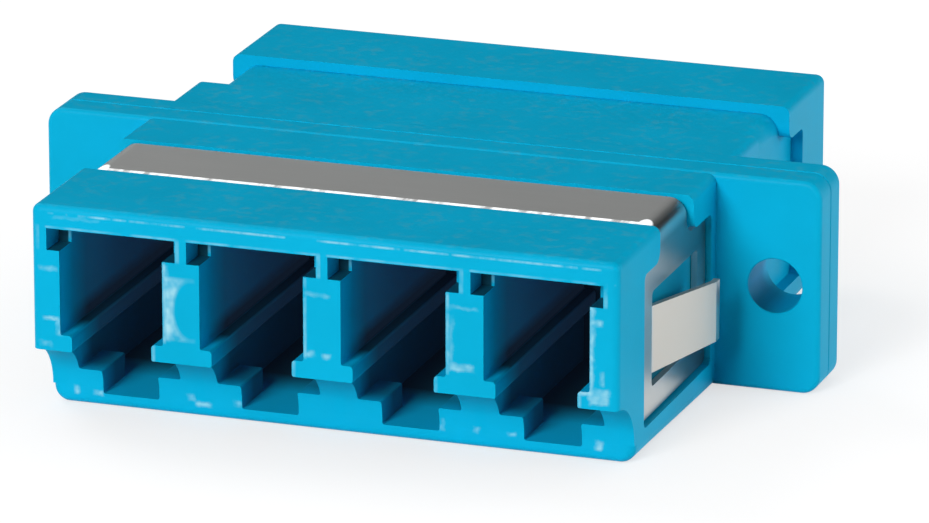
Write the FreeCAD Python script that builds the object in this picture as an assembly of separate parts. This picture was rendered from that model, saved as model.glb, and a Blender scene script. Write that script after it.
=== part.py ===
"""LC fibre adapter with four ports: two welded half housings, a folded clip and four sleeves.

Millimetres. X runs along the row of ports, +Y points to the rear half and +Z up. The origin is
the middle of the underside, on the weld plane where the two half housings meet.
"""
import FreeCAD
import Part
import math
import os

Vector = FreeCAD.Vector

# Ports
port_count = 4
port_pitch = 6.25
port_width = 4.60            # between the port walls
plug_height = 4.64           # from the rails to the ceiling, for the plug's square nose
port_depth = 13.25           # from the mouth to the web in the middle
port_corner = 0.10
ceiling_notch_width = 5.74   # the mouth is wider under the ceiling
ceiling_notch_height = 0.96
ceiling_notch_depth = 1.40

# Rails that carry the plug, and the latch space under them
rail_gap = 3.56              # between the two rails of a port
rail_height = 0.77
rail_corner = 0.16
latch_space_height = 2.40    # from the floor to the rails
latch_slot_width = 2.53
catch_height = 1.05          # ledge beside the latch slot
catch_length = 2.50

# Walls of a half housing
top_wall = 1.00
floor_wall = 0.55
side_wall = 1.25             # outside the last port
web_thickness = 1.50         # each half's share of the wall between front and rear ports
top_corner_radius = 0.36
foot_radius_at_flange = 0.28  # lower long edges, softer towards the mouth
foot_radius_at_mouth = 0.68
end_round = 0.30
cove_radius = 2.20           # hollow under the port mouths
cove_drop = 0.05             # from the rails' underside up to the lip of the hollow

# Flange
flange_thickness = 2.86      # both halves together
flange_rise = 0.06           # above the top of the housing
flange_corner_radius = 0.80
flange_edge_round = 0.22
hole_to_side = 2.625         # ear hole's centre from the housing's side
hole_to_end = 2.00           # ear hole's centre from the flange's end
hole_radius = 1.20
hole_rim_chamfer = 0.05
weld_line_chamfer = 0.07

# Recess for the clip, in the top and both sides of each half
land_length = 3.20           # full section between the flange and the groove
groove_width = 4.60
groove_depth = 0.42
groove_end_ease = 0.32       # groove's end rounding past the inside of the clip's fold
side_depth = 0.53            # recess down the sides
pocket_rib = 0.67            # left standing against the flange
pocket_reach = 2.07          # past the groove, towards the mouth
pocket_sill = 1.15           # underside of the housing to the pocket
shoulder_height = 1.51       # top of the housing to the pocket
pocket_corner = 0.30
shoulder_corner = 0.55

# Folded clip
sheet = 0.27
strip_sink = 0.08            # top of the housing down to the strip
strip_mouth_gap = 0.19       # to the groove's wall on the mouth side
strip_flange_gap = 0.24
leg_clearance = 0.02         # between a leg and the recess
fold_inside_radius = 0.48
plate_mouth_gap = 0.20       # leg plate to the pocket's end on the mouth side
plate_flange_gap = 0.10
plate_sill_gap = 0.12
plate_shoulder_gap = 0.20
plate_corner = 0.30
neck_corner = 0.80
window_mouth_strip = 1.55    # metal left around the window
window_flange_strip = 1.10
window_sill_strip = 1.15
window_top_strip = 1.05
window_corner = 0.25
tab_edge_gap = 0.63          # window's edges to the tab, above and below
tab_end_gap = 0.90           # window's edge to the tab's free end
tab_taper = 0.29             # lost in height by the tip
tab_flare = 1.28             # outwards, from the hinge to the tip
tab_end = 0.45               # last stretch, level with the leg again

# Split sleeve and the boss that holds it
sleeve_bore_radius = 0.625
sleeve_wall = 0.185
sleeve_length = 6.80
sleeve_slit = 0.35
sleeve_chamfer = 0.06
sleeve_clearance = 0.04      # radial, in the boss
sleeve_end_play = 0.10
boss_wall = 0.60
boss_lip = 1.10              # stops the sleeve
boss_bore_clearance = 0.08   # round the plug's ferrule, at the lip's narrow end
boss_flare = 0.35            # the lip opens this much towards the mouth

# Places that follow from the sizes above
body_width = (port_count - 1) * port_pitch + port_width + 2 * side_wall
rail_bottom = floor_wall + latch_space_height
rail_top = rail_bottom + rail_height
port_top = rail_top + plug_height
body_height = port_top + top_wall
body_side = body_width / 2
half_length = web_thickness + port_depth
flange_face = flange_thickness / 2
flange_side = body_side + hole_to_side + hole_to_end
hole_x = body_side + hole_to_side
catch_top = floor_wall + catch_height
cove_top = rail_bottom + cove_drop
setback_y = half_length - cove_radius
ferrule_z = rail_top + plug_height / 2
groove_near = flange_face + land_length
groove_far = groove_near + groove_width
groove_floor = body_height - groove_depth
groove_end_radius = fold_inside_radius + groove_end_ease
recess_x = body_side - side_depth
pocket_near = flange_face + pocket_rib
pocket_far = groove_far + pocket_reach
pocket_top = body_height - shoulder_height
sleeve_radius = sleeve_bore_radius + sleeve_wall
chamber_radius = sleeve_radius + sleeve_clearance
chamber_end = sleeve_length / 2 + sleeve_end_play
boss_radius = chamber_radius + boss_wall
boss_tip = chamber_end + boss_lip
leg_inside = recess_x + leg_clearance
leg_outside = leg_inside + sheet
strip_top = body_height - strip_sink
strip_far = -(groove_far - strip_mouth_gap)
strip_near = -(groove_near + strip_flange_gap)
strip_width = strip_near - strip_far
plate_far = -(pocket_far - plate_mouth_gap)
plate_near = -(pocket_near + plate_flange_gap)
plate_low = pocket_sill + plate_sill_gap
plate_high = pocket_top - plate_shoulder_gap
window_far = plate_far + window_mouth_strip
window_near = plate_near - window_flange_strip
window_low = plate_low + window_sill_strip
window_high = plate_high - window_top_strip
fold_radius = fold_inside_radius + sheet
past = 1.0                   # how far a cutting solid runs past the face it opens


def port_centres():
    """X of each port's centre, from left to right."""
    first = -(port_count - 1) * port_pitch / 2
    return [first + index * port_pitch for index in range(port_count)]


def box(low, high):
    """Block between two opposite corners."""
    size = high - low
    return Part.makeBox(size.x, size.y, size.z, low)


def rounded_wire(corners, place):
    """Closed wire through corners (u, v, radius), where place turns u and v into a point."""
    edges = []
    starts = []
    ends = []
    for index, (u, v, radius) in enumerate(corners):
        here = place(u, v)
        before = place(*corners[index - 1][:2]) - here
        after = place(*corners[(index + 1) % len(corners)][:2]) - here
        before.normalize()
        after.normalize()
        if radius == 0:
            starts.append(here)
            ends.append(here)
            continue
        half_angle = before.getAngle(after) / 2
        reach = radius / math.tan(half_angle)
        bisector = before + after
        bisector.normalize()
        middle = here + bisector * (radius / math.sin(half_angle) - radius)
        starts.append(here + before * reach)
        ends.append(here + after * reach)
        edges.append(Part.Arc(starts[-1], middle, ends[-1]).toShape())
    for index, end in enumerate(ends):
        following = starts[(index + 1) % len(starts)]
        edges.append(Part.LineSegment(end, following).toShape())
    return Part.Wire(Part.__sortEdges__(edges))


def prism(corners, place, run):
    """Rounded outline filled and swept along run."""
    return Part.Face(rounded_wire(corners, place)).extrude(run)


def across(y):
    """Placement of an X-Z outline in the plane at y."""
    return lambda x, z: Vector(x, y, z)


def upright(x):
    """Placement of a Y-Z outline in the plane at x."""
    return lambda y, z: Vector(x, y, z)


def mirrored_in_x(shape):
    return shape.mirror(Vector(0, 0, 0), Vector(1, 0, 0))


def tube_along_y(radius, start, end, x, z):
    return Part.makeCylinder(radius, end - start, Vector(x, start, z), Vector(0, 1, 0))


def edges_in_plane(shape, y):
    """Edges that lie wholly in the plane at y."""
    found = []
    for edge in shape.Edges:
        limits = edge.BoundBox
        if abs(limits.YMin - y) < 1e-6 and abs(limits.YMax - y) < 1e-6:
            found.append(edge)
    return found


# Half housing, built towards +Y

def section_block(length):
    """Housing section of the given length, with its outer end rounded."""
    corners = [
        (-body_side, 0, 0),
        (body_side, 0, 0),
        (body_side, body_height, top_corner_radius),
        (-body_side, body_height, top_corner_radius),
    ]
    block = prism(corners, across(0), Vector(0, length, 0))
    feet = [edge for edge in block.Edges if edge.BoundBox.ZMax < 1e-6 and edge.Length > body_height]
    feet = [edge for edge in feet if edge.BoundBox.XLength < 1e-6]
    taper = (foot_radius_at_mouth - foot_radius_at_flange) / setback_y
    block = block.makeFillet(
        foot_radius_at_flange, foot_radius_at_flange + taper * length, feet)
    return block.makeFillet(end_round, edges_in_plane(block, length))


def outer_block():
    """Section with the hollow under the port mouths."""
    centre_z = cove_top - cove_radius
    width = body_width + 2 * past
    hollow = Part.makeCylinder(
        cove_radius, width, Vector(-width / 2, half_length, centre_z), Vector(1, 0, 0))
    below = box(
        Vector(-width / 2, setback_y - end_round, -past),
        Vector(width / 2, half_length + past, centre_z))
    nose = section_block(half_length).cut(hollow.fuse(below))
    return nose.fuse(section_block(setback_y))


def flange_plate():
    """One half's share of the flange, with its two ear holes."""
    top = body_height + flange_rise
    corners = [
        (-flange_side, 0, flange_corner_radius),
        (flange_side, 0, flange_corner_radius),
        (flange_side, top, flange_corner_radius),
        (-flange_side, top, flange_corner_radius),
    ]
    plate = prism(corners, across(0), Vector(0, flange_face, 0))
    plate = plate.makeFillet(flange_edge_round, edges_in_plane(plate, flange_face))
    return plate.makeChamfer(weld_line_chamfer, edges_in_plane(plate, 0))


def ear_holes():
    holes = []
    for x in (-hole_x, hole_x):
        hole = tube_along_y(hole_radius, -past, flange_face + past, x, body_height / 2)
        rim = Part.makeCone(
            hole_radius, hole_radius + 2 * hole_rim_chamfer, 2 * hole_rim_chamfer,
            Vector(x, flange_face - hole_rim_chamfer, body_height / 2), Vector(0, 1, 0))
        holes += [hole, rim]
    return holes


def mouth_outline(x):
    """Port section at the mouth: plug space, rails, and the slot for the latch between ledges."""
    half = port_width / 2
    gap = rail_gap / 2
    slot = latch_slot_width / 2
    right = [
        (slot, floor_wall, port_corner),
        (slot, catch_top, port_corner),
        (half, catch_top, port_corner),
        (half, rail_bottom, port_corner),
        (gap, rail_bottom, rail_corner),
        (gap, rail_top, rail_corner),
        (half, rail_top, port_corner),
        (half, port_top, port_corner),
    ]
    left = [(-u, v, radius) for u, v, radius in reversed(right)]
    return [(x + u, v, radius) for u, v, radius in right + left]


def port_cut(x):
    """Everything that is taken out of a half housing for one port."""
    inside = half_length - web_thickness + past
    bore = prism(mouth_outline(x), across(web_thickness), Vector(0, inside, 0))
    behind_catch = box(
        Vector(x - port_width / 2, web_thickness, floor_wall),
        Vector(x + port_width / 2, setback_y - catch_length, rail_bottom))
    notch = box(
        Vector(x - ceiling_notch_width / 2, half_length - ceiling_notch_depth,
               port_top - ceiling_notch_height),
        Vector(x + ceiling_notch_width / 2, half_length + past, port_top))
    return bore.fuse([behind_catch, notch])


def sleeve_boss(x):
    """Tube on the web that holds one end of a sleeve, with a funnel for the ferrule."""
    boss = tube_along_y(boss_radius, 0, boss_tip, x, ferrule_z)
    chamber = tube_along_y(chamber_radius, -past, chamber_end, x, ferrule_z)
    throat = sleeve_bore_radius + boss_bore_clearance
    funnel = Part.makeCone(
        throat, throat + boss_flare, boss_lip, Vector(x, chamber_end, ferrule_z), Vector(0, 1, 0))
    return boss, chamber.fuse(funnel)


def clip_recess():
    """Groove over the top, with a pocket down each side."""
    over = body_height + flange_rise + past
    groove = box(
        Vector(-body_side - past, groove_near, pocket_top),
        Vector(body_side + past, groove_far, over))
    core_corners = [
        (-recess_x, 0, 0),
        (recess_x, 0, 0),
        (recess_x, groove_floor, groove_end_radius),
        (-recess_x, groove_floor, groove_end_radius),
    ]
    core = prism(core_corners, across(0), Vector(0, half_length, 0))
    pocket_corners = [
        (groove_near, over, 0),
        (groove_near, pocket_top, shoulder_corner),
        (pocket_near, pocket_top, pocket_corner),
        (pocket_near, pocket_sill, pocket_corner),
        (pocket_far, pocket_sill, pocket_corner),
        (pocket_far, pocket_top, pocket_corner),
        (groove_far, pocket_top, shoulder_corner),
        (groove_far, over, 0),
    ]
    pocket = prism(pocket_corners, upright(recess_x), Vector(side_depth + past, 0, 0))
    return [groove.cut(core), pocket, mirrored_in_x(pocket)]


def half_housing():
    shape = outer_block().fuse(flange_plate())
    shape = shape.cut([port_cut(x) for x in port_centres()])
    bosses = [sleeve_boss(x) for x in port_centres()]
    shape = shape.fuse([boss for boss, bores in bosses])
    shape = shape.cut([bores for boss, bores in bosses])
    shape = shape.cut(clip_recess() + ear_holes())
    return shape.removeSplitter()


# Folded clip, on the front half

def clip_leg_plate():
    """Flat side of a leg: a neck from the fold, and a wide plate with a window."""
    fold = strip_top - fold_radius
    corners = [
        (strip_far, fold, 0),
        (strip_far, plate_high, neck_corner),
        (plate_far, plate_high, plate_corner),
        (plate_far, plate_low, plate_corner),
        (plate_near, plate_low, plate_corner),
        (plate_near, plate_high, plate_corner),
        (strip_near, plate_high, neck_corner),
        (strip_near, fold, 0),
    ]
    plate = prism(corners, upright(leg_inside), Vector(sheet, 0, 0))
    window_corners = [
        (window_far, window_low, window_corner),
        (window_near, window_low, window_corner),
        (window_near, window_high, window_corner),
        (window_far, window_high, window_corner),
    ]
    window = prism(window_corners, upright(leg_inside - past), Vector(sheet + 2 * past, 0, 0))
    return plate.cut(window)


def spring_tab():
    """Tab sprung outwards from the edge of the window, narrower at its tip."""
    root = window_far - sheet
    end = window_near - tab_end_gap
    reach = end - tab_end
    low = window_low + tab_edge_gap
    high = window_high - tab_edge_gap
    side_corners = [
        (root, low, 0),
        (end, low, 0),
        (end, high - tab_taper, 0),
        (reach, high - tab_taper, 0),
        (window_far, high, 0),
        (root, high, 0),
    ]
    side = prism(side_corners, upright(leg_inside), Vector(tab_flare + sheet, 0, 0))
    plan = [
        Vector(leg_inside, root, 0),
        Vector(leg_inside, window_far, 0),
        Vector(leg_inside + tab_flare, reach, 0),
        Vector(leg_inside + tab_flare, end, 0),
        Vector(leg_outside + tab_flare, end, 0),
        Vector(leg_outside + tab_flare, reach, 0),
        Vector(leg_outside, window_far, 0),
        Vector(leg_outside, root, 0),
    ]
    profile = Part.Face(Part.makePolygon(plan + plan[:1]))
    return profile.extrude(Vector(0, 0, body_height)).common(side)


def clip_fold():
    """Quarter bend between the strip and a leg."""
    centre = Vector(leg_outside - fold_radius, strip_far, strip_top - fold_radius)
    outer = Part.makeCylinder(fold_radius, strip_width, centre, Vector(0, 1, 0))
    inner = Part.makeCylinder(fold_inside_radius, strip_width, centre, Vector(0, 1, 0))
    quarter = box(
        centre,
        centre + Vector(fold_radius + past, strip_width, fold_radius + past))
    return outer.cut(inner).common(quarter)


def mounting_clip():
    flat_half = leg_outside - fold_radius
    strip = box(
        Vector(-flat_half, strip_far, strip_top - sheet),
        Vector(flat_half, strip_near, strip_top))
    leg = clip_fold().fuse([clip_leg_plate(), spring_tab()])
    return strip.fuse([leg, mirrored_in_x(leg)]).removeSplitter()


# Sleeve

def split_sleeve(x):
    """Ceramic tube, slit along its length, that lines up two ferrules."""
    start = -sleeve_length / 2
    end = sleeve_length / 2
    wall = tube_along_y(sleeve_radius, start, end, x, ferrule_z)
    wall = wall.makeChamfer(
        sleeve_chamfer, edges_in_plane(wall, start) + edges_in_plane(wall, end))
    bore = tube_along_y(sleeve_bore_radius, start - past, end + past, x, ferrule_z)
    slit = box(
        Vector(x - sleeve_slit / 2, start - past, ferrule_z),
        Vector(x + sleeve_slit / 2, end + past, ferrule_z + sleeve_radius + past))
    return wall.cut([bore, slit])


def build():
    rear = half_housing()
    nodes = {
        "front_housing": rear.mirror(Vector(0, 0, 0), Vector(0, 1, 0)),
        "rear_housing": rear,
        "mounting_clip": mounting_clip(),
    }
    for number, x in enumerate(port_centres(), start=1):
        nodes["split_sleeve_%d" % number] = split_sleeve(x)
    return nodes


os.makedirs("parts", exist_ok=True)
for node, shape in build().items():
    shape.exportStep("parts/%s.step" % node)
    print(node, "solids", len(shape.Solids), "valid", shape.isValid(), "mm3", round(shape.Volume, 3))
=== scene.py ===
import bpy
import math
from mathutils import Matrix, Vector

MM = 0.001

# Places on the housing, in millimetres
PORT_PITCH = 6.25
OUTER_PORT = PORT_PITCH * 1.5    # middle of the last port
HALF_LENGTH = 14.75
BODY_TOP = 9.36
HOLE_X = 15.55
HOLE_Z = 4.68
HOLE_RADIUS = 1.20

# Heights in a port
FLOOR_TOP = 0.55
LEDGE_TOP = 1.60
RAIL_FOOT = 2.95
RAIL_TOP = 3.72
NOTCH_SILL = 7.40
PORT_TOP = 8.36

# From a port's middle to its faces, and from the mouth inwards
RAIL_FACE = 1.78
PORT_WALL = 2.30
NOTCH_WALL = 2.87
NOTCH_DEPTH = 1.40
SET_BACK = 2.20
PORT_DEPTH = 13.25

# Places on the clip; its front edge and plates lie on the -Y side
STRIP_FRONT = -9.04
STRIP_TOP = 9.28
POCKET_SIDE = 12.40              # housing's side behind the leg
LEG_SIDE = 12.685                # outside of the leg
PLATE_FRONT = -11.10
PLATE_REAR = -2.20
WINDOW_FRONT = -9.55
WINDOW_FOOT = 2.42
WINDOW_TOP = 6.60
TAB_FOOT = 3.05

# Colours
WHITE = (1, 1, 1, 1)
BLACK = (0, 0, 0, 1)
BLUE_LOW = (0.0, 0.452, 0.725, 1)
BLUE_HIGH = (0.0, 0.492, 0.795, 1)
DUST = (0.10, 0.45, 0.56, 1)
# Pale colour of rubbed marks, also used for painted highlights along edges
RUBBED_AND_HIGHLIGHT = (0.42, 0.80, 0.92, 1)
# Painted shade
PAINTED_SHADE_COLOUR = (0.006, 0.010, 0.014, 1)
# Painted glow standing in for light through the plastic, on the port walls and just inside the
# mouth
WALL_GLOW = (0.0045, 0.009, 0.019, 1)
LIP_GLOW = (0.0, 0.036, 0.085, 1)
STEEL_LOW = (0.56, 0.570, 0.560, 1)
STEEL_HIGH = (0.63, 0.640, 0.630, 1)
# Painted dark reflection on the sheet's bends
STEEL_DARK_REFLECTION = (0.20, 0.225, 0.225, 1)
# Painted reflection of the blue housing on the clip's legs
LEG_BLUE_REFLECTION = (0.07, 0.175, 0.20, 1)
# Painted warm reflection on the sprung tabs
TAB_WARM_REFLECTION = (0.56, 0.53, 0.47, 1)
# Painted glow of the glints on the sheet's edges
EDGE_GLINT = (0.62, 0.64, 0.65, 1)
CERAMIC_LOW = (0.86, 0.86, 0.83, 1)
CERAMIC_HIGH = (0.93, 0.93, 0.90, 1)
FLOOR_GREY = (0.80, 0.80, 0.80, 1)
FLOOR_SHADED = (0.30, 0.30, 0.30, 1)

# Surfaces
DUST_SHARE = 0.42
BLUE_GLOSS = 0.08
BLUE_INDEX = 1.46
BLUE_GRAIN = 0.004               # height of the grain, in millimetres
STEEL_GRAIN = 0.0012
CERAMIC_INDEX = 2.1
CERAMIC_GRAIN = 0.001

# How strongly each shade darkens a face inside a port
WALL_SHADE = 0.42
CORNER_SHADE = 0.55
RAIL_FACE_SHADE = 0.70
RAIL_TOP_SHADE = 0.90
LEDGE_SHADE = 0.48
FLOOR_SHADE = 0.94
END_SHADE = 0.94
NOTCH_SHADE = 0.88
SILL_SHADE = 0.84
LOW_SIDE_SHADE = 0.62
TOP_SIDE_SHADE = 0.35

# The smear beside the first divider, in millimetres: its middle and its half sizes
SMEAR_LEFT = 5.80                # towards -X from the middle of the row
SMEAR_HEIGHT = 5.38
SMEAR_HALF_WIDTH = 0.74
SMEAR_HALF_HEIGHT = 1.25

# Rubbed places, in millimetres: face, left, right, low, high, strength
FRONT_MARKS = (
    ("mouth", -12.55, -11.80, 6.52, 6.68, 0.60),
    ("mouth", -12.45, -11.75, 4.36, 4.50, 0.70),
    ("mouth", -11.80, -11.62, 3.70, 4.40, 0.60),
    ("mouth", -12.70, -12.10, 3.20, 3.40, 0.55),
    ("mouth", -6.98, -6.82, 4.00, 7.25, 0.30),
    ("mouth", -0.72, 0.30, 6.62, 6.74, 0.35),
    ("mouth", -0.70, -0.30, 3.98, 4.18, 0.60),
    ("mouth", 0.04, 0.36, 3.94, 4.16, 0.80),
    ("mouth", 5.60, 6.76, 6.72, 6.82, 0.50),
    ("mouth", 5.58, 5.72, 4.30, 6.72, 0.40),
    ("mouth", 5.58, 6.60, 4.02, 4.34, 0.80),
    ("mouth", 11.68, 11.84, 3.60, 7.45, 0.60),
    ("mouth", 11.72, 12.25, 6.62, 6.82, 0.65),
    ("mouth", 12.16, 12.30, 4.05, 4.66, 0.50),
    ("mouth", 11.20, 12.56, 3.62, 3.88, 0.75),
    ("mouth", 11.60, 12.50, 3.22, 3.60, 0.60),
    ("mouth", -12.00, -9.80, 8.84, 8.90, 0.30),
    ("set back", -11.96, -11.76, 0.46, 0.80, 0.85),
    ("set back", -11.05, -10.65, 0.44, 0.66, 0.70),
    ("set back", -6.80, -6.50, 0.68, 0.92, 0.55),
    ("set back", -6.45, -5.80, 0.48, 0.64, 0.85),
    ("set back", -4.70, -4.42, 0.62, 0.84, 0.70),
    ("set back", 4.44, 4.60, 0.60, 1.10, 0.50),
    ("set back", 5.92, 6.12, 0.64, 0.94, 0.60),
    ("set back", 7.38, 7.72, 0.70, 0.84, 0.60),
    ("set back", 11.20, 11.52, 0.50, 0.90, 0.75),
)
REAR_MARKS = (
    ("mouth", -0.70, 0.70, 6.66, 6.78, 0.45),
    ("mouth", -0.70, -0.58, 4.00, 6.66, 0.40),
    ("mouth", -0.70, 0.70, 3.98, 4.14, 0.50),
    ("mouth", 5.60, 6.90, 4.00, 4.30, 0.50),
    ("mouth", 11.80, 12.50, 5.60, 5.90, 0.50),
    ("mouth", -12.60, -12.00, 7.40, 7.70, 0.45),
    ("set back", -11.40, -10.90, 0.50, 0.80, 0.65),
    ("set back", 4.50, 4.80, 0.50, 0.90, 0.65),
    ("set back", 10.80, 11.20, 0.50, 0.80, 0.65),
)

# Floor, lamps and camera; the floor's drop is in millimetres, the rest in metres and watts
FLOOR_SIZE = 6.0
FLOOR_DROP = 0.02
FLOOR_GLOW = 0.84
CONTACT_REACH = 0.016
CONTACT_SHADE = 0.26
WORLD_LEVEL = 0.06
LAMP_AIM = (0, 0, 0.004)
LAMPS = (
    # name, place, width, power, whether surfaces mirror it
    ("key_lamp", (-0.085, -0.54, 0.27), 0.24, 2.75, True),
    ("left_lamp", (-0.40, 0.22, 0.42), 0.30, 1.0, True),
    ("right_lamp", (0.55, 0.12, 0.16), 0.30, 1.2, True),
    ("back_lamp", (0.36, 0.46, 0.10), 0.30, 0.7, False),
)
SENSOR_WIDTH = 36.0
LENS_LENGTH = 310.01076
CAMERA_PLACE = (0.10836, -0.31069, 0.10776)
CAMERA_DOWN = 17.5416            # degrees below level
CAMERA_TURN = 19.0363            # degrees round the upright axis, towards +X


# Shader writing: values are expressions, every other node comes from Graph.node

class Signal:
    """A shader value that adds its Math nodes as it is used in an expression."""

    def __init__(self, graph, socket):
        self.graph = graph
        self.socket = socket

    def math(self, operation, *others):
        return self.graph.math(operation, self, *others)

    def __add__(self, other):
        return self.math("ADD", other)

    def __radd__(self, other):
        return self.math("ADD", other)

    def __sub__(self, other):
        return self.math("SUBTRACT", other)

    def __rsub__(self, other):
        return self.graph.math("SUBTRACT", other, self)

    def __mul__(self, other):
        return self.math("MULTIPLY", other)

    def __rmul__(self, other):
        return self.math("MULTIPLY", other)

    def __truediv__(self, other):
        return self.math("DIVIDE", other)

    def __mod__(self, other):
        return self.math("FLOORED_MODULO", other)

    def __abs__(self):
        return self.math("ABSOLUTE")


class Graph:
    """A node tree with one way to add a node."""

    def __init__(self, tree):
        self.tree = tree

    def node(self, kind, settings=None, **values):
        """Adds a node, sets it up, then fills or links its inputs, _0 being the first one."""
        made = self.tree.nodes.new(kind)
        for name, value in (settings or {}).items():
            setattr(made, name, value)
        for name, value in values.items():
            number = name[1:] if name.startswith("_") else ""
            self.feed(made.inputs[int(number) if number else name.replace("_", " ")], value)
        return made

    def feed(self, socket, value):
        if isinstance(value, Signal):
            value = value.socket
        if isinstance(value, bpy.types.NodeSocket):
            self.tree.links.new(value, socket)
        else:
            socket.default_value = value

    def split(self, vector):
        parts = self.node("ShaderNodeSeparateXYZ", Vector=vector).outputs
        return [Signal(self, part) for part in parts]

    def math(self, operation, first, second=0.0):
        made = self.node("ShaderNodeMath", {"operation": operation}, _0=first, _1=second)
        return Signal(self, made.outputs[0])

    def step(self, value, low, high):
        """0 at low, 1 at high, a slope between them; low may be the larger number."""
        return Signal(self, self.node("ShaderNodeMapRange", _0=value, _1=low, _2=high).outputs[0])

    def span(self, value, low, high, soft):
        """1 where value lies between low and high, with soft ends."""
        return self.step(value, low - soft, low + soft) * self.step(value, high + soft, high - soft)

    def larger(self, first, second):
        return self.math("MAXIMUM", first, second)

    def mix(self, factor, first, second):
        """Colour between first and second."""
        made = self.node("ShaderNodeMix", {"data_type": "RGBA"}, _0=factor, _6=first, _7=second)
        return made.outputs[2]


class Finish(Graph):
    """One material, with the object's own coordinates in millimetres."""

    def __init__(self, name, **constants):
        self.material = bpy.data.materials.new(name)
        self.material.use_nodes = True
        super().__init__(self.material.node_tree)
        self.shader = self.tree.nodes["Principled BSDF"]
        for socket, value in constants.items():
            self.shader.inputs[socket.replace("_", " ")].default_value = value
        self.place = self.node("ShaderNodeTexCoord").outputs["Object"]
        self.x, self.y, self.z = [part * (1 / MM) for part in self.split(self.place)]
        facing = self.node("ShaderNodeNewGeometry").outputs["Normal"]
        self.facing_x, self.facing_y, self.facing_z = self.split(facing)

    def noise(self, scale, detail=3.0, rough=0.5, stretch=(1, 1, 1), shift=(0, 0, 0)):
        """Cloudy pattern between 0 and 1, with scale in waves per millimetre."""
        place = self.node(
            "ShaderNodeMapping", Vector=self.place, Scale=stretch, Location=shift).outputs[0]
        made = self.node(
            "ShaderNodeTexNoise", Vector=place, Scale=scale / MM, Detail=detail, Roughness=rough)
        return Signal(self, made.outputs[0])

    def facing_sideways(self, full):
        """1 on faces whose normal points along the row of ports by at least this much."""
        return self.step(abs(self.facing_x), 0.6, full)

    def colour(self, value):
        self.feed(self.shader.inputs["Base Color"], value)

    def roughness(self, value):
        self.feed(self.shader.inputs["Roughness"], value)

    def glow(self, value):
        self.feed(self.shader.inputs["Emission Color"], value)

    def bump(self, height, distance):
        """Raises the surface by height times distance, in millimetres."""
        made = self.node("ShaderNodeBump", Height=height, Distance=distance * MM)
        self.feed(self.shader.inputs["Normal"], made.outputs[0])


# Blue plastic of the two halves

def moulded_blue(name, mouth, marks):
    """Blue plastic of one half; mouth is -1 for the front half and 1 for the rear half."""
    finish = Finish(
        name, IOR=BLUE_INDEX, Specular_IOR_Level=BLUE_GLOSS, Emission_Strength=1.0)
    finish.depth = HALF_LENGTH - finish.y * mouth
    finish.across = (finish.x + PORT_PITCH * 10) % PORT_PITCH - PORT_PITCH / 2
    finish.outward = finish.step(finish.facing_y * mouth, 0.80, 0.95)
    finish.upward = finish.step(finish.facing_z, 0.60, 0.85)
    cloud = finish.noise(0.22, detail=4.0)
    blue = finish.mix(finish.step(cloud, 0.3, 0.7), BLUE_LOW, BLUE_HIGH)
    blue = finish.mix(dust(finish), blue, DUST)
    # Painted highlights along edges, added to real rubbed marks; both take the same pale colour
    wear_and_highlight = painted_edge_highlights(finish) + rubbed_marks(finish, marks)
    blue = finish.mix(wear_and_highlight, blue, RUBBED_AND_HIGHLIGHT)
    inside = port_inside(finish)
    # Painted shade inside the ports and ear holes, and behind the clip's window on the front half
    shade = inside * port_shade(finish) + ear_bore(finish)
    if mouth < 0:
        shade = shade + window_shade(finish)
    finish.colour(finish.mix(shade, blue, PAINTED_SHADE_COLOUR))
    # Painted glow standing in for light through the plastic
    glow = finish.mix(inside * port_wall_glow(finish), BLACK, WALL_GLOW)
    finish.glow(finish.mix(inside * port_lip_glow(finish), glow, LIP_GLOW))
    finish.roughness(0.40 + 0.12 * cloud - 0.08 * wear_and_highlight)
    finish.bump(finish.noise(9.0, detail=2.0), BLUE_GRAIN)
    return finish.material


def dust(finish):
    """Fine pale dust on the top faces."""
    fine = finish.noise(1.9, detail=3.0, rough=0.6)
    broad = finish.noise(0.5, detail=2.0, shift=(3, 1, 0))
    top = finish.upward * finish.step(finish.z, BODY_TOP - 0.96, BODY_TOP - 0.76)
    return finish.step(fine, 0.50, 0.72) * finish.step(broad, 0.30, 0.65) * top * DUST_SHARE


def mouth_face(finish):
    """1 on the flat face round the ports."""
    return finish.outward * finish.step(finish.depth, 0.10, 0.05)


def painted_edge_highlights(finish):
    """Painted highlights: pale lines along the edges of every port and below the rounded top edge,
    and a tick at each notch's end.
    """
    z, across, span, step = finish.z, finish.across, finish.span, finish.step
    dash = step(finish.noise(1.1, detail=3.0, rough=0.6, stretch=(1, 1, 0.3)), 0.40, 0.60)
    soft = step(finish.noise(1.1, detail=2.0, shift=(5, 0, 2)), 0.35, 0.65)
    top_line = span(z, BODY_TOP - 0.37, BODY_TOP - 0.29, 0.03)
    top_line = top_line * step(abs(finish.x), OUTER_PORT + 2.825, OUTER_PORT + 2.525) * dash
    rim = span(z, PORT_TOP + 0.03, PORT_TOP + 0.11, 0.03)
    rim = rim * span(across, -NOTCH_WALL - 0.03, NOTCH_WALL + 0.03, 0.04)
    neck = span(across, NOTCH_WALL + 0.03, NOTCH_WALL + 0.19, 0.03)
    neck = neck * span(z, NOTCH_SILL + 0.05, PORT_TOP + 0.09, 0.08)
    wall = span(across, PORT_WALL + 0.02, PORT_WALL + 0.14, 0.04)
    wall = wall * span(z, RAIL_TOP + 0.18, NOTCH_SILL - 0.05, 0.10)
    foot = span(across, RAIL_FACE + 0.02, RAIL_FACE + 0.15, 0.05)
    foot = foot * span(z, RAIL_FOOT + 0.03, RAIL_TOP - 0.02, 0.06)
    lines = top_line * 0.60 + (rim * 0.40 + wall * 0.50 + foot * 0.45 + neck * 0.40) * soft
    tick = span(finish.depth, NOTCH_DEPTH - 0.10, NOTCH_DEPTH + 0.02, 0.05) * finish.outward
    tick = tick * span(across, -PORT_WALL - 0.14, -PORT_WALL, 0.05)
    tick = tick * step(z, NOTCH_SILL + 0.10, NOTCH_SILL + 0.30)
    return lines * mouth_face(finish) + tick * 0.45


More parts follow.
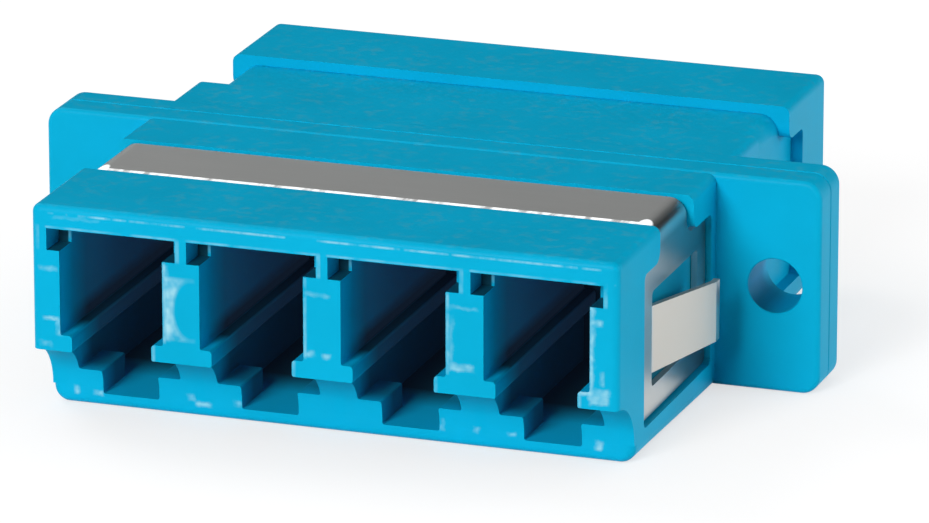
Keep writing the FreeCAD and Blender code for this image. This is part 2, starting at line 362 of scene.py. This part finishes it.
def rubbed_marks(finish, marks):
    """Scuffs and mould witness marks on the mouth face, and small ones on the face set back."""
    on_face = {
        "mouth": mouth_face(finish),
        "set back": finish.outward * finish.span(
            finish.depth, SET_BACK - 0.10, SET_BACK + 0.10, 0.05),
    }
    cloud = finish.step(finish.noise(1.35, detail=2.0, rough=0.6), 0.30, 0.64)
    ragged = finish.noise(1.7, detail=3.0, rough=0.6, shift=(4, 0, 7)) - 0.5
    high_up, sideways = finish.z + ragged * 0.34, finish.x - ragged * 0.42
    total = 0.0
    for face, left, right, low, high, strength in marks:
        patch = finish.span(sideways, left, right, 0.09) * finish.span(high_up, low, high, 0.07)
        total = total + patch * on_face[face] * strength
    return total * cloud + smear(finish) * on_face["mouth"] * smear_cloud(finish, cloud)


def smear(finish):
    """The one smear beside the first divider: a ring's left part."""
    from_middle = (finish.x + SMEAR_LEFT) / SMEAR_HALF_WIDTH
    above_middle = (finish.z - SMEAR_HEIGHT) / SMEAR_HALF_HEIGHT
    ring = finish.step(from_middle * from_middle + above_middle * above_middle, 0.90, 1.35)
    ring = ring * finish.span(finish.x, -SMEAR_LEFT - 1.14, -SMEAR_LEFT + 0.14, 0.08)
    return ring * finish.span(finish.z, SMEAR_HEIGHT - 1.34, SMEAR_HEIGHT + 1.36, 0.09)


def smear_cloud(finish, cloud):
    """The smear is patchy, and strongest along its left side."""
    left = finish.step(finish.x, -SMEAR_LEFT - 0.10, -SMEAR_LEFT - 0.80)
    return cloud * (0.25 + 0.50 * left) + 0.08


def port_inside(finish):
    """1 within the four ports of this half."""
    z, depth, step = finish.z, finish.depth, finish.step
    outer_wall = OUTER_PORT + NOTCH_WALL
    inside = step(abs(finish.across), NOTCH_WALL + 0.05, NOTCH_WALL + 0.01)
    inside = inside * step(abs(finish.x), outer_wall + 0.075, outer_wall + 0.035)
    inside = inside * step(z, FLOOR_TOP - 0.10, FLOOR_TOP - 0.02)
    inside = inside * step(z, PORT_TOP + 0.08, PORT_TOP + 0.02)
    return inside * step(depth, 0.02, 0.08) * step(depth, PORT_DEPTH + 0.65, PORT_DEPTH + 0.45)


def port_shade(finish):
    """Painted shade on the faces within a port, darker inwards."""
    side = finish.facing_sideways(0.8)
    total = port_side_shade(finish, side) + port_level_shade(finish)
    return total + port_corner_shade(finish, side)


def port_side_shade(finish, side):
    """Shade of the port's side walls and of the rails' faces."""
    z, depth, step = finish.z, finish.depth, finish.step
    above_foot = side * step(z, RAIL_FOOT - 0.10, RAIL_FOOT)
    wall = step(abs(finish.across), PORT_WALL - 0.30, PORT_WALL - 0.10)
    corner = wall * step(z, RAIL_TOP + 0.93, RAIL_TOP + 0.33) * step(depth, 0.9, 3.3)
    wall_face = above_foot * (wall * step(depth, 1.2, 3.0) * WALL_SHADE + corner * CORNER_SHADE)
    rail_face = above_foot * (1 - wall) * step(depth, 1.2, 3.2) * RAIL_FACE_SHADE
    return wall_face + rail_face


def port_level_shade(finish):
    """Shade of the rails' tops, the latch ledges, the floor and the port's end."""
    z, depth, upward, step = finish.z, finish.depth, finish.upward, finish.step
    rail_top = upward * finish.span(z, RAIL_TOP - 0.22, RAIL_TOP + 0.23, 0.05)
    ledge = upward * finish.span(z, LEDGE_TOP - 0.15, LEDGE_TOP + 0.15, 0.05)
    floor = upward * step(z, FLOOR_TOP + 0.65, FLOOR_TOP + 0.45)
    total = rail_top * step(depth, 0.9, 2.3) * RAIL_TOP_SHADE
    total = total + ledge * step(depth, 2.0, 3.1) * LEDGE_SHADE
    total = total + floor * step(depth, 5.0, 7.2) * FLOOR_SHADE
    return total + finish.outward * step(depth, 6.0, 8.0) * END_SHADE


def port_corner_shade(finish, side):
    """Shade of the notch under the ceiling and of the latch space's sides."""
    z, depth, step, across = finish.z, finish.depth, finish.step, abs(finish.across)
    notch = finish.outward * finish.span(depth, NOTCH_DEPTH - 0.15, NOTCH_DEPTH + 0.15, 0.05)
    notch = notch * step(across, PORT_WALL + 0.10, PORT_WALL + 0.16)
    notch = notch * step(z, NOTCH_SILL - 0.20, NOTCH_SILL - 0.10)
    sill = finish.upward * finish.span(z, NOTCH_SILL - 0.15, NOTCH_SILL + 0.15, 0.05)
    low_side = side * step(z, RAIL_FOOT - 0.05, RAIL_FOOT - 0.25) * step(depth, 2.3, 3.6)
    top_side = side * step(z, NOTCH_SILL - 0.10, NOTCH_SILL + 0.10)
    top_side = top_side * step(across, NOTCH_WALL - 0.27, NOTCH_WALL - 0.07)
    total = notch * NOTCH_SHADE + sill * SILL_SHADE
    return total + low_side * LOW_SIDE_SHADE + top_side * TOP_SIDE_SHADE


def ear_bore(finish):
    """The lower and inner side of each ear hole is in its own shadow."""
    from_hole = abs(finish.x) - HOLE_X
    low = finish.step(finish.facing_z, 0.1, 0.7) * finish.step(abs(finish.facing_y), 0.5, 0.3)
    bore = finish.step(abs(from_hole), HOLE_RADIUS + 0.08, HOLE_RADIUS + 0.02)
    bore = bore * finish.span(
        finish.z, HOLE_Z - HOLE_RADIUS - 0.05, HOLE_Z + HOLE_RADIUS / 2, 0.2)
    return low * bore * finish.step(from_hole, 0.9, -0.3) * 0.55


def window_shade(finish):
    """Painted shadow on the housing's side behind the window of the clip, darkest under the tab."""
    z, out, step = finish.z, abs(finish.x), finish.step
    side = finish.facing_sideways(0.8) * step(out, POCKET_SIDE + 0.3, POCKET_SIDE + 0.2)
    side = side * step(out, POCKET_SIDE - 0.5, POCKET_SIDE - 0.3)
    side = side * finish.span(finish.y, PLATE_FRONT + 0.1, PLATE_REAR - 0.4, 0.1)
    under_tab = step(z, TAB_FOOT + 0.55, TAB_FOOT - 0.05)
    return side * (0.34 + 0.38 * under_tab) * step(z, WINDOW_TOP + 0.8, WINDOW_TOP + 0.2)


def port_uprights(finish):
    """1 on the side walls and rails of a port."""
    return finish.facing_sideways(0.85) * finish.step(
        finish.z, RAIL_FOOT - 0.05, RAIL_FOOT + 0.05)


def port_wall_glow(finish):
    """Painted glow standing in for faint light through the plastic, strongest on the side walls and
    rails.
    """
    return finish.step(finish.depth, 1.0, 3.5) * (0.32 + 0.68 * port_uprights(finish))


def port_lip_glow(finish):
    """Painted glow standing in for brighter light through the plastic just inside the mouth."""
    return port_uprights(finish) * finish.step(finish.depth, 1.4, 0.3)


# Sheet of the clip

def spring_sheet():
    finish = Finish("rolled spring sheet", Emission_Strength=1.0)
    grain = finish.noise(6.0, detail=3.0, stretch=(0.05, 1, 1))
    cloud = finish.noise(0.35, detail=3.0, stretch=(0.4, 1, 1))
    upward = finish.step(finish.facing_z, 0.7, 0.95)
    tab = finish.step(abs(finish.x), LEG_SIDE + 0.015, LEG_SIDE + 0.055)
    steel = finish.mix(grain * 0.5 + cloud * 0.5, STEEL_LOW, STEEL_HIGH)
    # Painted dark reflection on the bends
    steel = finish.mix(bend_dark_reflection(finish), steel, STEEL_DARK_REFLECTION)
    # Painted reflection of the blue housing on the legs
    steel = finish.mix(leg_blue_reflection(finish), steel, LEG_BLUE_REFLECTION)
    # Painted warm reflection on the sprung tabs
    steel = finish.mix(tab * 0.6, steel, TAB_WARM_REFLECTION)
    # Painted highlights on the sheet's edges; on the strip's top they also glow
    painted_glint = painted_edge_glints(finish)
    finish.colour(finish.mix(painted_glint, steel, WHITE))
    finish.feed(finish.shader.inputs["Metallic"], 1 - painted_glint * 0.9 - upward * 0.25)
    finish.glow(finish.mix(painted_glint * upward, BLACK, EDGE_GLINT))
    finish.roughness(0.28 + 0.06 * grain + 0.25 * upward)
    finish.bump(grain, STEEL_GRAIN)
    return finish.material


def bend_dark_reflection(finish):
    """Painted darker reflection on the bends of the sheet."""
    bend = finish.span(abs(finish.x), LEG_SIDE - 0.535, LEG_SIDE - 0.065, 0.12)
    return bend * finish.span(finish.z, STRIP_TOP - 0.43, STRIP_TOP - 0.03, 0.10) * 0.55


def leg_blue_reflection(finish):
    """Painted reflection of the blue housing on the legs: around the window towards the flange, and
    in front of it.
    """
    z, step = finish.z, finish.step
    side = finish.facing_sideways(0.9)
    side = side * step(abs(finish.x), LEG_SIDE + 0.415, LEG_SIDE + 0.295)
    side = side * step(z, STRIP_TOP - 0.48, STRIP_TOP - 0.98)
    beyond_window = step(z, WINDOW_TOP - 1.0, WINDOW_TOP + 0.2)
    beyond_window = beyond_window + step(z, WINDOW_FOOT + 0.98, WINDOW_FOOT - 0.22)
    behind = step(finish.y + z * 0.5, -7.0, -3.8) * beyond_window
    front = step(finish.y, WINDOW_FRONT + 0.25, WINDOW_FRONT - 0.15)
    front = front * finish.span(z, WINDOW_FOOT + 0.48, WINDOW_TOP - 0.5, 0.8)
    return side * (behind * 0.66 + front * 0.30)


def painted_edge_glints(finish):
    """Painted highlights on the sheared edges: the strip's front edge in dashes, a glint at each
    end, and the legs.
    """
    z, out, step = finish.z, abs(finish.x), finish.step
    flat = step(z, STRIP_TOP - 0.28, STRIP_TOP - 0.18)
    front = finish.span(finish.y, STRIP_FRONT - 0.06, STRIP_FRONT + 0.36, 0.03)
    front = front * step(out, LEG_SIDE - 0.385, LEG_SIDE - 0.585)
    dash = step(finish.noise(1.6, detail=3.0, rough=0.7, stretch=(1, 0.2, 1)), 0.38, 0.56)
    glint_x = out - (LEG_SIDE - 0.585)
    glint_y = (finish.y - (STRIP_FRONT + 0.36)) * 0.55
    glint = step(glint_x * glint_x + glint_y * glint_y, 0.10, 0.05)
    leg = step(finish.facing_y, -0.7, -0.9) * step(z, STRIP_TOP - 0.38, STRIP_TOP - 0.58) * 0.55
    return finish.larger(finish.larger(front * (0.25 + 0.75 * dash), glint) * flat, leg)


# Ceramic of the sleeves

def sleeve_ceramic():
    finish = Finish("ground white ceramic", IOR=CERAMIC_INDEX)
    grain = finish.noise(8.0, detail=2.0, stretch=(1, 0.1, 1))
    finish.colour(finish.mix(grain, CERAMIC_LOW, CERAMIC_HIGH))
    finish.roughness(0.18 + 0.08 * grain)
    finish.bump(grain, CERAMIC_GRAIN)
    return finish.material


# Floor, lamps and camera

def pale_floor():
    bpy.ops.mesh.primitive_plane_add(size=FLOOR_SIZE, location=(0, 0, -FLOOR_DROP * MM))
    floor = bpy.context.object
    floor.name = "pale_floor"
    finish = Finish("pale floor", Base_Color=FLOOR_GREY, Roughness=0.9, Specular_IOR_Level=0)
    path = finish.node("ShaderNodeLightPath").outputs
    seen = finish.larger(path["Is Camera Ray"], path["Is Glossy Ray"])
    seen = finish.larger(seen, path["Is Transmission Ray"])
    open_sky = Signal(finish, finish.node(
        "ShaderNodeAmbientOcclusion", {"samples": 8}, Distance=CONTACT_REACH).outputs["AO"])
    level = FLOOR_GLOW * (1 - CONTACT_SHADE * (1 - open_sky))
    glow = finish.node("ShaderNodeEmission", Color=WHITE, Strength=level)
    shaded = finish.node("ShaderNodeBsdfDiffuse", Color=FLOOR_SHADED)
    white = finish.node("ShaderNodeAddShader", _0=glow.outputs[0], _1=shaded.outputs[0])
    pick = finish.node(
        "ShaderNodeMixShader", _0=seen, _1=finish.shader.outputs[0], _2=white.outputs[0])
    finish.feed(finish.tree.nodes["Material Output"].inputs["Surface"], pick.outputs[0])
    floor.data.materials.append(finish.material)


def grey_studio():
    """A dim sky that is brighter overhead."""
    world = bpy.data.worlds.new("grey studio")
    bpy.context.scene.world = world
    world.use_nodes = True
    sky = Graph(world.node_tree)
    up = sky.split(sky.node("ShaderNodeTexCoord").outputs["Generated"])[2]
    level = WORLD_LEVEL * (0.6 + 0.8 * sky.step(up, 0.3, 0.9))
    lit = world.node_tree.nodes["Background"]
    lit.inputs["Color"].default_value = WHITE
    sky.feed(lit.inputs["Strength"], level)


def soft_lamp(name, place, width, power, mirrored):
    lamp = bpy.data.lights.new(name, "AREA")
    lamp.shape = "DISK"
    lamp.size = width
    lamp.energy = power
    holder = bpy.data.objects.new(name, lamp)
    bpy.context.scene.collection.objects.link(holder)
    holder.location = place
    holder.visible_glossy = mirrored
    to_part = Vector(LAMP_AIM) - Vector(place)
    holder.rotation_euler = to_part.to_track_quat("-Z", "Y").to_euler()


def camera():
    lens = bpy.data.cameras.new("camera")
    lens.sensor_width = SENSOR_WIDTH
    lens.sensor_fit = "HORIZONTAL"
    lens.lens = LENS_LENGTH
    lens.clip_start = 0.01
    lens.clip_end = 20.0
    eye = bpy.data.objects.new("camera", lens)
    bpy.context.scene.collection.objects.link(eye)
    eye.location = CAMERA_PLACE
    eye.rotation_euler = (math.radians(90 - CAMERA_DOWN), 0, math.radians(CAMERA_TURN))
    bpy.context.scene.camera = eye


def dress(node, material):
    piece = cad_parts[node]
    for slot in piece.material_slots:
        slot.material = material


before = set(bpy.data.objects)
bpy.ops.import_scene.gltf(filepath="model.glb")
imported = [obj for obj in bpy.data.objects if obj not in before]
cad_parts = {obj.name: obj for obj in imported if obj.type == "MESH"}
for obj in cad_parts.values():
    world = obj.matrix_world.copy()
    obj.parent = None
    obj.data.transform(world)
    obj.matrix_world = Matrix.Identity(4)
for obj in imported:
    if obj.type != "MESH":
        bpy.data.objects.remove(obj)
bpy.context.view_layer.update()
bpy.ops.object.select_all(action="DESELECT")
dress("front_housing", moulded_blue("moulded blue front", -1, FRONT_MARKS))
dress("rear_housing", moulded_blue("moulded blue rear", 1, REAR_MARKS))
dress("mounting_clip", spring_sheet())
ceramic = sleeve_ceramic()
for number in range(1, 5):
    dress("split_sleeve_%d" % number, ceramic)
pale_floor()
grey_studio()
for lamp_sizes in LAMPS:
    soft_lamp(*lamp_sizes)
camera()
bpy.context.scene.view_settings.view_transform = "Standard"
